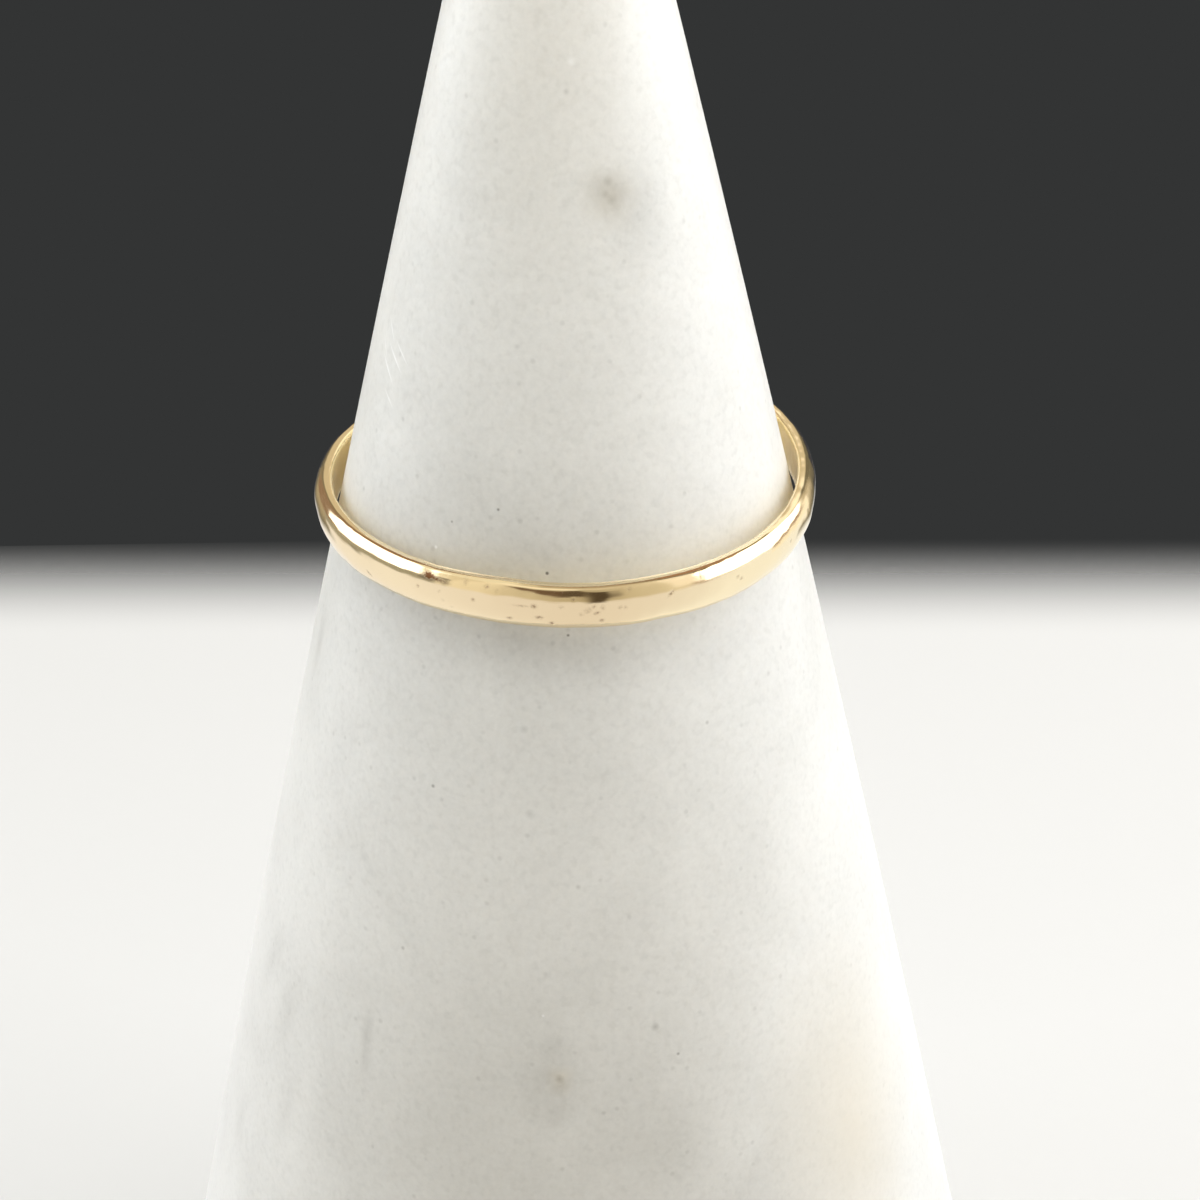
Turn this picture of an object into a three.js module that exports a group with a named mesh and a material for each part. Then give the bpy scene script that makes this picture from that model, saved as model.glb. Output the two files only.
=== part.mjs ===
// A thin half-round gold ring that has slid down a marble ring cone until it stopped.
// Lengths are in millimetres and angles in degrees. +Z is up, the origin is the centre of
// the cone's base, and the front of the piece faces -Y.

import * as THREE from 'three';

// The marble cone
const coneHeight = 75;
const coneBaseRadius = 19;
const coneTipRadius = 2; // radius of the rounded point
const coneBelly = 0.35; // how far the side swells past a straight line
const coneFootRound = 0.8; // rounded edge where the side meets the base

// The gold ring
const ringInnerRadius = 8.65; // mean radius of the finger hole
const bandWidth = 1.6; // measured along the finger
const bandThickness = 0.65; // at the crown of the dome
const bandRimThickness = 0.22; // at each edge, where the dome starts
const bandInnerRound = 0.12; // rounding of the two inner edges

// A worn ring is not quite round: its hole is long one way and has three shallow lobes
const ovalDepth = 0.18; // added along the long axis and taken off across it
const ovalAzimuth = 87; // the long axis runs nearly front to back
const lobeDepth = 0.19; // how far each of the three lobes stands out
const lobeAzimuth = 177; // one of them points left

// How the ring sits on the cone
const seatGap = 0.1; // between the marble and the tightest point of the band
const ringLean = 1; // the right side sits this many degrees higher
const ringShift = 0.09; // the ring hangs a hair to the right of the cone's axis

// How finely curves are cut into flat faces
const coneSides = 80;
const ringSides = 96;
const sideSteps = 10;
const domeSteps = 10;
const tipSteps = 6;
const footSteps = 3;
const edgeSteps = 2;

const radians = THREE.MathUtils.degToRad;

// Points on an arc round (x, y), from one angle to another, both ends included.
function arc(x, y, radiusX, radiusY, from, to, steps) {
  return Array.from({ length: steps + 1 }, (_, i) => {
    const angle = radians(from + ((to - from) * i) / steps);
    return new THREE.Vector2(x + radiusX * Math.cos(angle), y + radiusY * Math.sin(angle));
  });
}

// Sweeps a profile of (radius, height) points round the Z axis.
function turn(profile, sides) {
  return new THREE.LatheGeometry(profile, sides).rotateX(Math.PI / 2);
}

// The cone's outline, from the centre of the base up to the point. The side is a shallow
// parabola that leaves the foot's rounding and runs into the rounded tip. Its lean at the
// tip sets where it touches the ball of the tip, so the two are worked out in turn.
function coneOutline() {
  const ballHeight = coneHeight - coneTipRadius;
  const foot = new THREE.Vector2(coneBaseRadius, coneFootRound);
  const top = new THREE.Vector2(coneTipRadius, ballHeight);
  let lean = 0;
  for (let pass = 0; pass < 5; pass++) {
    const rise = top.y - foot.y;
    lean = Math.atan2(foot.x - top.x + 4 * coneBelly, rise);
    top.set(coneTipRadius * Math.cos(lean), ballHeight + coneTipRadius * Math.sin(lean));
  }
  const side = [];
  for (let i = 1; i < sideSteps; i++) {
    const t = i / sideSteps;
    const point = foot.clone().lerp(top, t);
    point.x += 4 * coneBelly * t * (1 - t);
    side.push(point);
  }
  const leanDegrees = THREE.MathUtils.radToDeg(lean);
  const round = coneFootRound;
  const outline = [
    new THREE.Vector2(0, 0),
    ...arc(coneBaseRadius - round, round, round, round, -90, 0, footSteps),
    ...side,
    ...arc(0, ballHeight, coneTipRadius, coneTipRadius, leanDegrees, 90, tipSteps),
  ];
  outline.at(-1).x = 0;
  return outline;
}

// The height at which the cone is as wide as the given radius.
function coneHeightAt(outline, radius) {
  for (let i = outline.length - 1; i > 0; i--) {
    const low = outline[i - 1];
    const high = outline[i];
    if (high.y > low.y && low.x >= radius) {
      return high.y - ((high.y - low.y) * (radius - high.x)) / (low.x - high.x);
    }
  }
  return 0;
}

// The band's half-round section: a flat inner wall with eased edges, two narrow rims and a
// half-elliptic dome. It runs anticlockwise and closes on itself.
function bandSection() {
  const half = bandWidth / 2;
  const round = bandInnerRound;
  const corner = half - round;
  const dome = bandThickness - bandRimThickness;
  const section = [
    ...arc(round, -corner, round, round, 180, 270, edgeSteps),
    ...arc(bandRimThickness, 0, dome, half, -90, 90, domeSteps),
    ...arc(round, corner, round, round, 90, 180, edgeSteps),
  ];
  section.push(section[0].clone());
  return section.map((p) => new THREE.Vector2(ringInnerRadius + p.x, p.y));
}

// How far the band stands out from a true circle at an azimuth in radians.
function outOfRound(azimuth) {
  const oval = ovalDepth * Math.cos(2 * (azimuth - radians(ovalAzimuth)));
  const lobes = lobeDepth * Math.cos(3 * (azimuth - radians(lobeAzimuth)));
  return oval + lobes;
}

// Moves each point of a turned shape in or out to follow the out-of-round hole.
function bendOutOfRound(geometry) {
  const position = geometry.attributes.position;
  for (let i = 0; i < position.count; i++) {
    const x = position.getX(i);
    const y = position.getY(i);
    const scale = 1 + outOfRound(Math.atan2(y, x)) / Math.hypot(x, y);
    position.setXY(i, x * scale, y * scale);
  }
  geometry.computeVertexNormals();
  return geometry;
}

// Lets a ring slide down the cone: the height of its centre when its tightest point is
// seatGap off the marble. A ring too wide for the cone lies on the table round its foot.
function seatedHeight(ring, outline) {
  ring.updateMatrix();
  const position = ring.geometry.attributes.position;
  const point = new THREE.Vector3();
  let height = -Infinity;
  for (let i = 0; i < position.count; i++) {
    point.fromBufferAttribute(position, i).applyMatrix4(ring.matrix);
    const needed = coneHeightAt(outline, Math.hypot(point.x, point.y) - seatGap);
    height = Math.max(height, needed - point.z);
  }
  return height;
}

function makeCone(outline) {
  const marble = new THREE.MeshStandardMaterial({
    color: 0xece8e0,
    roughness: 0.4,
    metalness: 0,
  });
  const cone = new THREE.Mesh(turn(outline, coneSides), marble);
  cone.name = 'marble_cone';
  return cone;
}

function makeRing(outline) {
  const gold = new THREE.MeshStandardMaterial({
    color: 0xd9b877,
    roughness: 0.2,
    metalness: 1,
  });
  const ring = new THREE.Mesh(bendOutOfRound(turn(bandSection(), ringSides)), gold);
  ring.name = 'ring_band';
  ring.rotation.y = -radians(ringLean);
  ring.position.x = ringShift;
  ring.position.z = seatedHeight(ring, outline);
  return ring;
}

const outline = coneOutline();
const part = new THREE.Group();
part.add(makeCone(outline), makeRing(outline));

export default part;
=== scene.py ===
# %% [markdown]
# # A thin gold stacking ring on a marble ring cone
#
# The ring is one strip of half-round gold wire, bent round, soldered and polished. Years of
# wear have pushed it a little out of round and left nicks in it. It has slid down a cone of
# turned marble until it stopped. Both pieces are measured already, so the first cell loads
# them as a fixed frame. Everything here is built around that frame and in the same metres.

# %% Load the measured model
import math

import bpy
import numpy as np
from mathutils import Matrix, Vector


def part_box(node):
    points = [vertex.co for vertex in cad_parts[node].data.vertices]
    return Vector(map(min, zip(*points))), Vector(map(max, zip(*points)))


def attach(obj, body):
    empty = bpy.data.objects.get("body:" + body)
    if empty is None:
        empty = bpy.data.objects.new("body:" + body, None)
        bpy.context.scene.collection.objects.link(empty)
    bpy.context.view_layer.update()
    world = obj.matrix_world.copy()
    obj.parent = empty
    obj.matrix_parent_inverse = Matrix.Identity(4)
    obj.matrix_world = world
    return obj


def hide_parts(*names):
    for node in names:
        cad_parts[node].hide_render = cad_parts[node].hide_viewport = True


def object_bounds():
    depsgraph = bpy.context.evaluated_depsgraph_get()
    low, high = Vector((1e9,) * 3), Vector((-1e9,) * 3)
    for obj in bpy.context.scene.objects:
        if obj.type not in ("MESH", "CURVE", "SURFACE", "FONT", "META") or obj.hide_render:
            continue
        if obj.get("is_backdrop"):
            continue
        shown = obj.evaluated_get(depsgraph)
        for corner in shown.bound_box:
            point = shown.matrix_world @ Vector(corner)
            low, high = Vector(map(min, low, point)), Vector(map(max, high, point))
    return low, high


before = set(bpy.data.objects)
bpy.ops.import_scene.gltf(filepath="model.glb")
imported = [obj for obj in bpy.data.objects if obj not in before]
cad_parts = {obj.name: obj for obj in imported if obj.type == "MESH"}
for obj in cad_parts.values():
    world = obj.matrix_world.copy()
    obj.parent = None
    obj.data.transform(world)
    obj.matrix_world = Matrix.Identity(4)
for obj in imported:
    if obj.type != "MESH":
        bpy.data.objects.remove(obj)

cad_low, cad_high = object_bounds()
print("nodes:", sorted(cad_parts), "box:", cad_low, cad_high)

# %% [markdown]
# ## Three helpers
#
# Jewellers think in millimetres and Blender in metres, so lengths below are written in
# millimetres times `MM`. Colours are picked as the hex codes that a screen shows. A shader
# adds light, so it needs them in linear units, and one function does that everywhere. A
# material is a small graph, and one function adds a node to it: a plain value fills a
# socket, and the output of another node is linked to it.

# %% Units, colours and nodes
MM = 0.001


def linear(hex_code):
    """An sRGB hex colour as linear red, green, blue and alpha."""
    channels = [int(hex_code[i : i + 2], 16) / 255 for i in (1, 3, 5)]
    return [c / 12.92 if c <= 0.04045 else ((c + 0.055) / 1.055) ** 2.4 for c in channels] + [1.0]


def add_node(tree, kind, sockets=None, **settings):
    """Adds one node. settings are its own options. sockets maps an input's name or number to
    a value, or to another node's output that is linked to it."""
    node = tree.nodes.new(kind)
    for option, value in settings.items():
        setattr(node, option, value)
    for socket, value in (sockets or {}).items():
        if isinstance(value, bpy.types.NodeSocket):
            tree.links.new(value, node.inputs[socket])
        else:
            node.inputs[socket].default_value = value
    return node


print("a mid grey in linear light:", round(linear("#808080")[0], 3))

# %% [markdown]
# ## The camera
#
# The view looks down on the ring at about 30 degrees from close by. A phone's longer lens,
# 72 mm on a full frame, gives this much narrowing from the front of the ring to its back.
# The place of the camera was worked out from the outlines of the cone and of the band.

# %% Camera
RING_HEIGHT = 48.3 * MM
CAMERA_LENS = 72.05
CAMERA_DISTANCE = 87.48 * MM
CAMERA_ELEVATION = math.radians(27.04)
AIM = Vector((1.18, 0.0, 43.37)) * MM
CAMERA_ROLL = math.radians(-0.475)

camera_data = bpy.data.cameras.new("camera")
camera_data.lens = CAMERA_LENS
camera_data.sensor_width = 36.0
camera_data.clip_start = 1 * MM
camera_data.clip_end = 10.0
camera = bpy.data.objects.new("camera", camera_data)
bpy.context.scene.collection.objects.link(camera)
camera.location = (
    0.0,
    -CAMERA_DISTANCE * math.cos(CAMERA_ELEVATION),
    RING_HEIGHT + CAMERA_DISTANCE * math.sin(CAMERA_ELEVATION),
)
level = (AIM - camera.location).to_track_quat("-Z", "Y").to_matrix()
camera.rotation_euler = (level @ Matrix.Rotation(CAMERA_ROLL, 3, "Z")).to_euler()
bpy.context.scene.camera = camera
print("camera at", [round(c / MM, 1) for c in camera.location], "mm")

# %% [markdown]
# ## A grid of points becomes a surface
#
# Both pieces can be written as a formula with two parameters: how far round, and how far
# along an outline. Numpy works out all the points of such a grid at once, and the faces
# between them follow from the grid's own numbering. A grid that closes on itself in both
# directions is a ring. One that closes in one direction only, with a single point at each
# end, is a turned solid.

# %% Grid surfaces


def grid_faces(rows, columns, close_rows):
    """Corner numbers of the quads of a grid whose columns close on themselves. Each face
    joins the corners (i, j), (i, j+1), (i+1, j+1) and (i+1, j), and past the last column or
    row the count starts again."""
    i, j = np.meshgrid(np.arange(rows if close_rows else rows - 1), np.arange(columns), indexing="ij")
    i2, j2 = (i + 1) % rows, (j + 1) % columns
    corners = [i * columns + j, i * columns + j2, i2 * columns + j2, i2 * columns + j]
    return np.stack(corners, -1).reshape(-1, 4)


def mesh_object(name, points, faces, material=None):
    """A smooth object at the origin from an array of points and lists of corner numbers."""
    mesh = bpy.data.meshes.new(name)
    mesh.from_pydata(points.tolist(), [], faces)
    mesh.polygons.foreach_set("use_smooth", np.ones(len(mesh.polygons), bool))
    mesh.validate()
    made = bpy.data.objects.new(name, mesh)
    bpy.context.scene.collection.objects.link(made)
    if material:
        mesh.materials.append(material)
    return made


print("faces of a 3 by 4 ring grid:", len(grid_faces(3, 4, True)))

# %% [markdown]
# ## The gold band
#
# The wire is half round: flat where it touches the finger, domed outside, with two narrow
# rims that polishing has eased. Carried once round the finger hole, that section gives the
# whole ring, so the band is a profile along a closed path. A torus with a scaled section
# would be quicker, but it has neither the flat wall nor the rims. Years on a hand have bent
# the hole into an oval with three shallow lobes.

# %% The band's section
HOLE_RADIUS = 8.65 * MM
BAND_WIDTH = 1.6 * MM
BAND_THICKNESS = 0.65 * MM
RIM_THICKNESS = 0.22 * MM
INNER_ROUND = 0.12 * MM
DOME_STEPS, WALL_STEPS, ROUND_STEPS = 48, 7, 5


def band_section():
    """The half-round section as (out from the hole, along the finger), anticlockwise: the
    lower inner rounding, the half-elliptic dome from rim to rim, the upper inner rounding
    and the flat inner wall."""
    half, corner = BAND_WIDTH / 2, BAND_WIDTH / 2 - INNER_ROUND
    low = np.linspace(math.pi, 1.5 * math.pi, ROUND_STEPS)
    dome = np.linspace(-math.pi / 2, math.pi / 2, DOME_STEPS)
    wall = np.linspace(corner, -corner, WALL_STEPS)[1:-1]
    out = np.concatenate([
        INNER_ROUND * (1 + np.cos(low)),
        RIM_THICKNESS + (BAND_THICKNESS - RIM_THICKNESS) * np.cos(dome),
        INNER_ROUND * (1 + np.cos(low[::-1])),
        np.zeros(len(wall)),
    ])
    along = np.concatenate([
        -corner + INNER_ROUND * np.sin(low),
        half * np.sin(dome),
        corner - INNER_ROUND * np.sin(low[::-1]),
        wall,
    ])
    return out, along


def section_normals(out, along):
    """Unit normals of a closed section: the chord between a point's two neighbours, turned a
    quarter, so that it points away from the metal."""
    step_out = np.roll(out, -1) - np.roll(out, 1)
    step_along = np.roll(along, -1) - np.roll(along, 1)
    length = np.hypot(step_out, step_along)
    return step_along / length, -step_out / length


section_out, section_along = band_section()
normal_out, normal_along = section_normals(section_out, section_along)
print("section of", len(section_out), "points,", round(section_out.max() / MM, 2), "mm thick")

# %% [markdown]
# ## Wear on the band
#
# A worn band is never a clean half round. The bench hammer, the polishing wheel and the hand
# have left it gently wavy, a few thousandths of a millimetre deep. That is far too little to
# see as shape, but a mirror doubles every slope, so it frays the edge of each reflection.
# Here it is a sum of cosine waves that run over the band in many directions, each with a
# whole number of waves round the ring so that the ends meet. The nicks are small dents with
# dark dirt in them. Their places are angles round the ring (270 is the front) and heights on
# the band.

# %% Waves
WAVE_COUNT = 28
WAVE_SLOPE = 0.020  # slope of one wave, in radians
MEAN_RADIUS = HOLE_RADIUS + BAND_THICKNESS / 2
dice = np.random.default_rng(11)
wave_length = np.exp(dice.uniform(np.log(0.5), np.log(3.5), WAVE_COUNT)) * MM
wave_course = dice.uniform(-1.2, 1.2, WAVE_COUNT)
wave_phase = dice.uniform(0, 2 * math.pi, WAVE_COUNT)
waves_round = np.round(2 * math.pi * MEAN_RADIUS / wave_length * np.cos(wave_course))
waves_across = 2 * math.pi / wave_length * np.sin(wave_course)
wave_height = WAVE_SLOPE * wave_length / (2 * math.pi) / math.sqrt(WAVE_COUNT / 2)


def waviness(azimuth, along):
    """Height of the worn surface in metres: a sum of height * cos(waves_round * azimuth +
    waves_across * along + phase)."""
    height = np.zeros(np.broadcast(azimuth, along).shape)
    for k in range(WAVE_COUNT):
        height += wave_height[k] * np.cos(waves_round[k] * azimuth + waves_across[k] * along + wave_phase[k])
    return height


shortest, longest = np.round([wave_length.min() / MM, wave_length.max() / MM], 2)
print(WAVE_COUNT, "waves of", shortest, "to", longest, "mm")

# %% Nicks
# azimuth in degrees, height in mm, half length and half width in mm, slant in degrees, depth in
# micrometres, and how dark the dirt is: past 1 it has a wide dark middle
NICKS = np.array([
    (220.75, -0.262, 0.110, 0.038, -30, 7, 0.75),
    (236.00, 0.125, 0.050, 0.045, 0, 6, 0.65),
    (236.30, 0.600, 0.040, 0.100, 28, 0.4, 0.40),
    (237.20, 0.600, 0.040, 0.100, -10, 0.3, 0.45),
    # a dark brown smudge in two parts, with no dent, where the left highlight ends
    (238.60, 0.570, 0.190, 0.080, -6, 0, 2.80),
    (241.10, 0.530, 0.280, 0.045, -7, 0, 1.60),
    (241.50, 0.156, 0.050, 0.035, 20, 3, 0.35),
    (242.25, -0.156, 0.060, 0.040, 0, 2, 0.15),
    (244.25, -0.349, 0.060, 0.040, 0, 2, 0.15),
    (247.50, 0.640, 0.085, 0.090, 0, 5, 0.30),
    (249.50, 0.110, 0.055, 0.050, 0, 9, 0.70),
    (252.50, 0.600, 0.070, 0.055, 0, 7, 0.60),
    (254.75, 0.508, 0.050, 0.050, 0, 4, 0.35),
    (257.25, -0.391, 0.080, 0.045, 0, 7, 0.65),
    (259.75, 0.125, 0.230, 0.030, 0, 4, 0.45),
    (262.50, 0.156, 0.085, 0.060, 0, 9, 0.75),
    (263.50, -0.247, 0.105, 0.050, 0, 11, 0.85),
    (266.00, -0.470, 0.060, 0.060, 0, 10, 0.85),
    (268.00, 0.187, 0.070, 0.050, 0, 4, 0.30),
    (270.50, 0.444, 0.055, 0.045, 0, 6, 0.50),
    (272.00, -0.078, 0.070, 0.050, 0, 5, 0.35),
    (273.25, 0.063, 0.100, 0.080, 20, 6, 0.50),
    (274.50, 0.187, 0.060, 0.050, 0, 6, 0.50),
    (275.00, -0.047, 0.080, 0.045, 15, 9, 0.80),
    (276.25, 0.141, 0.060, 0.080, 0, 5, 0.40),
    (276.00, -0.363, 0.060, 0.055, 0, 9, 0.75),
    (279.75, 0.094, 0.060, 0.050, 0, 5, 0.40),
    (280.75, 0.078, 0.055, 0.050, 0, 4, 0.35),
    (281.75, 0.656, 0.060, 0.050, 0, 4, 0.30),
    (290.25, 0.306, 0.100, 0.042, 35, 10, 0.80),
    (297.20, 0.600, 0.040, 0.140, -8, 0.3, 0.60),
    (306.20, 0.110, 0.060, 0.040, 0, 8, 0.60),
    (307.25, -0.010, 0.055, 0.045, 0, 8, 0.55),
    (325.75, 0.078, 0.055, 0.050, 0, 7, 0.50),
])
# the side of the ring that the photograph hides has nicks of the same kind, at random
HIDDEN_NICKS = 34
hidden = np.stack([
    dice.uniform(-30, 210, HIDDEN_NICKS),
    dice.uniform(-0.6, 0.65, HIDDEN_NICKS),
    dice.uniform(0.05, 0.14, HIDDEN_NICKS),
    dice.uniform(0.035, 0.06, HIDDEN_NICKS),
    dice.uniform(-40, 40, HIDDEN_NICKS),
    dice.uniform(3, 10, HIDDEN_NICKS),
    dice.uniform(0.2, 0.8, HIDDEN_NICKS),
], -1)
nicks = np.concatenate([NICKS, hidden])


def nick_marks(azimuth, along):
    """Depth in metres and dirt, from 0 up. Each nick is a bell, exp(-(u / length) ** 2 -
    (v / width) ** 2), with u and v turned by its slant. Depths add up and the darkest dirt
    wins."""
    depth = np.zeros(np.broadcast(azimuth, along).shape)
    dark_marks = np.zeros(depth.shape)
    for place_deg, place_mm, length, width, slant_deg, depth_um, darkness in nicks:
        turn = (azimuth - math.radians(place_deg) + math.pi) % (2 * math.pi) - math.pi
        x = turn * MEAN_RADIUS / MM
        y = along / MM - place_mm
        c, s = math.cos(math.radians(slant_deg)), math.sin(math.radians(slant_deg))
        bell = np.exp(-(((x * c + y * s) / length) ** 2) - ((y * c - x * s) / width) ** 2)
        depth += depth_um * 1e-3 * MM * bell
        dark_marks = np.maximum(dark_marks, darkness * bell)
    return depth, dark_marks


print(len(nicks), "nicks,", HIDDEN_NICKS, "of them on the hidden side")

# %% [markdown]
# ## Sweeping the section round the finger
#
# The grid has one row for each step round the ring and one column for each point of the
# section. Wear moves a point along the section's own normal. Three larger marks of wear are
# bells round the ring: a flat spot, the wall that it spread inwards, and a rim that stands
# proud. Modifiers could sweep and bend a curve too, but a formula puts every point exactly.

# %% The band
OVAL_DEPTH, OVAL_AZIMUTH = 0.18 * MM, math.radians(87)
LOBE_DEPTH, LOBE_AZIMUTH = 0.19 * MM, math.radians(177)
RING_LEAN = math.radians(1)
RING_STEPS = 1550
# how far each mark of wear moves the metal, with its azimuth and half width in degrees
FLAT_DEPTH, FLAT_PLACE = 0.10 * MM, (190, 26)
SPREAD_DEPTH, SPREAD_PLACE = 0.06 * MM, (172, 12)
PROUD_HEIGHT, PROUD_PLACE = 0.06 * MM, (255, 10)


def hole_radius(azimuth):
    """The finger hole: a circle, plus a cosine of twice the azimuth for the oval and one of
    three times the azimuth for the lobes."""
    oval = OVAL_DEPTH * np.cos(2 * (azimuth - OVAL_AZIMUTH))
    lobes = LOBE_DEPTH * np.cos(3 * (azimuth - LOBE_AZIMUTH))
    return HOLE_RADIUS + oval + lobes


def band_points(azimuth, out, along):
    """Points of the band in metres: radius = hole + out, turned to the azimuth, leaned about
    the Y axis."""
    radius = hole_radius(azimuth) + out
    x, y = radius * np.cos(azimuth), radius * np.sin(azimuth)
    lean_c, lean_s = math.cos(RING_LEAN), math.sin(RING_LEAN)
    return np.stack([x * lean_c - along * lean_s, y, x * lean_s + along * lean_c], -1)


def bell_round(place_deg, half_deg):
    """A bell round the ring: exp(-(degrees from its place / half width) ** 2)."""
    apart = (np.degrees(azimuth) - place_deg + 180) % 360 - 180
    return np.exp(-((apart / half_deg) ** 2))


azimuth = (math.pi / 2 + np.linspace(0, 2 * math.pi, RING_STEPS, endpoint=False))[:, None]
clean_band = band_points(azimuth, section_out[None, :], section_along[None, :])
ring_low, ring_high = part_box("ring_band")
ring_centre = np.array((ring_low + ring_high) / 2)  # the band goes where the CAD ring is
band_place = ring_centre - (clean_band.reshape(-1, 3).min(0) + clean_band.reshape(-1, 3).max(0)) / 2

# a knock has flattened the left side and spread its inner wall towards the finger, and the
# soldered joint has left the upper rim a little proud
spread = SPREAD_DEPTH * bell_round(*SPREAD_PLACE) * (1 - section_out[None, :] / BAND_THICKNESS)
flattened = FLAT_DEPTH * bell_round(*FLAT_PLACE) + spread
proud = PROUD_HEIGHT * bell_round(*PROUD_PLACE) * (0.5 + section_along[None, :] / BAND_WIDTH)

nick_depth, nick_dirt = nick_marks(azimuth, section_along[None, :])
is_outside = section_out[None, :] > INNER_ROUND
raised = waviness(azimuth, section_along[None, :]) - nick_depth * is_outside
band = band_points(
    azimuth,
    section_out[None, :] + raised * normal_out[None, :] - flattened,
    section_along[None, :] + raised * normal_along[None, :] + proud,
) + band_place

ring = mesh_object("gold_band", band.reshape(-1, 3), grid_faces(RING_STEPS, band.shape[1], True).tolist())
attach(ring, "root")
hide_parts("ring_band")
print("band of", len(ring.data.polygons), "faces, moved by", np.round(band_place / MM, 3), "mm")

# %% [markdown]
# ## Numbers for the material to read
#
# A painted picture could tell the material where dirt lies, but numbers stored with the points
# are exact. Three go in as attributes: the dirt together with a painted dark line on the rim, how
# far inside the ring a point is, and how much its rim is rubbed. A UV map in millimetres lets the
# polishing marks run along the band.

# %% UV map and attributes of the band


def point_attribute(mesh, name, values):
    """Stores one number per mesh point, for the material to read by that name."""
    attribute = mesh.attributes.new(name, "FLOAT", "POINT")
    attribute.data.foreach_set("value", np.ascontiguousarray(values, dtype=np.float32).ravel())


def grid_uv(mesh, name, u_lines, v_lines):
    """A UV map for a grid that closes both ways. u_lines and v_lines have one value more than
    the grid has rows and columns, so the last faces end at the full length and not at 0."""
    i, j = np.meshgrid(np.arange(len(u_lines) - 1), np.arange(len(v_lines) - 1), indexing="ij")
    u = np.stack([u_lines[i], u_lines[i], u_lines[i + 1], u_lines[i + 1]], -1)
    v = np.stack([v_lines[j], v_lines[j + 1], v_lines[j + 1], v_lines[j]], -1)
    layer = mesh.uv_layers.new(name=name)
    layer.data.foreach_set("uv", np.stack([u, v], -1).astype(np.float32).ravel())


side_out = np.diff(section_out, append=section_out[0])
side_along = np.diff(section_along, append=section_along[0])
side_lengths = np.hypot(side_out, side_along)
round_mm = np.linspace(0, 2 * math.pi * MEAN_RADIUS, RING_STEPS + 1) / MM
across_mm = np.concatenate([[0], np.cumsum(side_lengths)]) / MM
grid_uv(ring.data, "band_mm", round_mm, across_mm)
inside = np.clip(1 - section_out / INNER_ROUND, 0, 1)[None, :] + 0 * azimuth
# a painted reflection: a thin dark line along the front where the upper rim meets the dome,
# laid in with the dirt of the nicks
NEAR = 0.005 * MM  # less than the distance between two points of the section
PAINTED_RIM_LINE, PAINTED_RIM_LINE_PLACE = 0.8, (251, 12)
on_edge = (np.abs(section_out - RIM_THICKNESS) < NEAR) & (section_along > 0)
rim_line = PAINTED_RIM_LINE * on_edge[None, :] * bell_round(*PAINTED_RIM_LINE_PLACE)
point_attribute(ring.data, "dark_marks", nick_dirt * is_outside + rim_line)
point_attribute(ring.data, "inside", inside)
# azimuth and half width in degrees of the stretches where the rims rubbed on other rings
RUBS = [(245, 9.5), (293, 16), (60, 25), (130, 18)]
RIM_DEPTH = 0.05 * MM
near_rim = np.abs(section_along) > BAND_WIDTH / 2 - RIM_DEPTH
on_rim = near_rim & (section_out < INNER_ROUND + NEAR)
rubbing = np.clip(sum(bell_round(*rub) for rub in RUBS), 0, 1)
point_attribute(ring.data, "rubbed", on_rim[None, :] * rubbing)
print("band is", round(round_mm[-1], 1), "mm round and", round(across_mm[-1], 2), "mm round its section")

# %% [markdown]
# ## 14 carat yellow gold, machine polished and worn
#
# Polished gold has almost no colour of its own apart from what it does to the light it
# mirrors: it swallows some blue. 14 carat gold is alloyed with silver and copper and is paler
# than pure gold. Wear shows as hairlines that mostly run the way the finger slides, as
# smudges where skin grease dulls the mirror, and as brown dirt in the nicks. The inner wall
# was only turned and rubbed, so it is softer, with fine lines round it and a film of soap.
# The rims have rubbed on other rings, and fine scratches make them pale and satin. Metal
# keeps the default IOR, because its colour already says how it mirrors.

# %% Gold: dirt and a painted dark rim line, in grains
GRAIN_SCALE = 12.0  # grains in a millimetre, so each is about 0.08 mm wide
gold = bpy.data.materials.new("polished_14k_gold")
gold.use_nodes = True
tree = gold.node_tree
shader = tree.nodes["Principled BSDF"]
ring.data.materials.append(gold)

band_uv = add_node(tree, "ShaderNodeUVMap", uv_map="band_mm")
# this attribute holds the dirt of the nicks and the painted dark line on the rim, a painted reflection
dark_marks = add_node(tree, "ShaderNodeAttribute", attribute_name="dark_marks")
inner = add_node(tree, "ShaderNodeAttribute", attribute_name="inside")
rubbed = add_node(tree, "ShaderNodeAttribute", attribute_name="rubbed")
place = add_node(tree, "ShaderNodeTexCoord")
place_mm = add_node(tree, "ShaderNodeMapping", {"Vector": place.outputs["Object"], "Scale": (1 / MM,) * 3})

# dirt sits in grains, so that no nick is evenly filled
grains = add_node(
    tree, "ShaderNodeTexNoise", {"Vector": place_mm.outputs[0], "Scale": GRAIN_SCALE, "Detail": 2.0}
)
filled = add_node(
    tree,
    "ShaderNodeMapRange",
    {"Value": grains.outputs["Fac"], "From Min": 0.36, "From Max": 0.60, "To Min": 0.35, "To Max": 1.0},
)
soil_and_painted_line = add_node(
    tree,
    "ShaderNodeMath",
    {0: dark_marks.outputs["Fac"], 1: filled.outputs[0]},
    operation="MULTIPLY",
    use_clamp=True,
)

print("grains of dirt", round(1 / GRAIN_SCALE, 2), "mm wide")

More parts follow.
